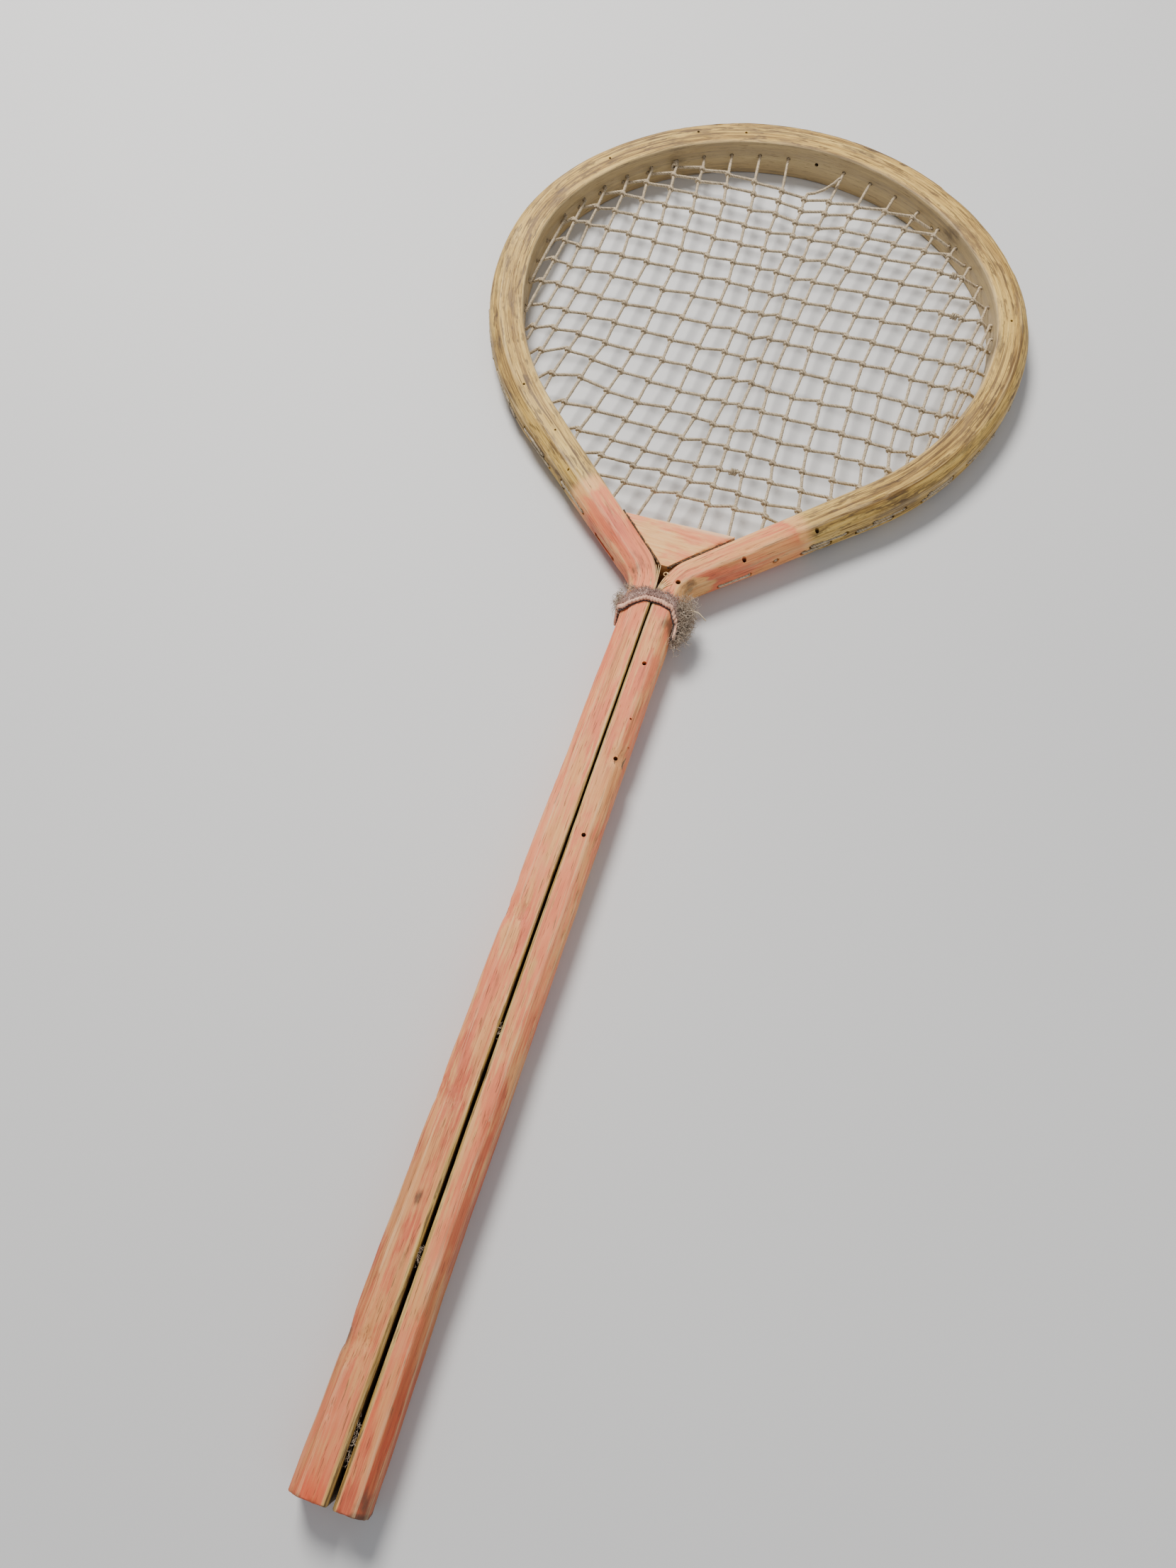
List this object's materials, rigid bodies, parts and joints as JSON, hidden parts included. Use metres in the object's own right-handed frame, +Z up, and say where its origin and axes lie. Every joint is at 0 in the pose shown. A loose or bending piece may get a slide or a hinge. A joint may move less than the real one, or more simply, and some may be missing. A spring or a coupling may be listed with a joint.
{
  "type": "bentwood racket",
  "caption": "Old bentwood racket with a teardrop hoop, split handle, throat wedge, knotted twine string bed and a velvet ribbon round the throat.",
  "frame": {"origin": "on the resting plane, under the middle of the outline's bounding box", "axes": "+Y from the butt to the crown of the hoop, +X to the right, +Z up out of the resting plane"},
  "size_m": [0.2232, 0.5568, 0.016],
  "materials": {
    "bare_wood": "bare aged ash, worn and dry, with salmon paint left on the handle and legs",
    "painted_wood": "worn salmon paint over light wood",
    "twine": "twisted dry hemp twine",
    "velvet": "rubbed velvet pile",
    "ribbon_cord": "ribbed corded ribbon edge"
  },
  "bodies": {
    "root": {"stave": "bare_wood", "throat_wedge": "painted_wood", "main_strings": "twine", "broken_main": "twine", "cross_strings": "twine", "splice_knots": "twine", "tie_off_knot": "twine", "throat_binding": "velvet", "binding_edge": "ribbon_cord"}
  },
  "joints": []
}
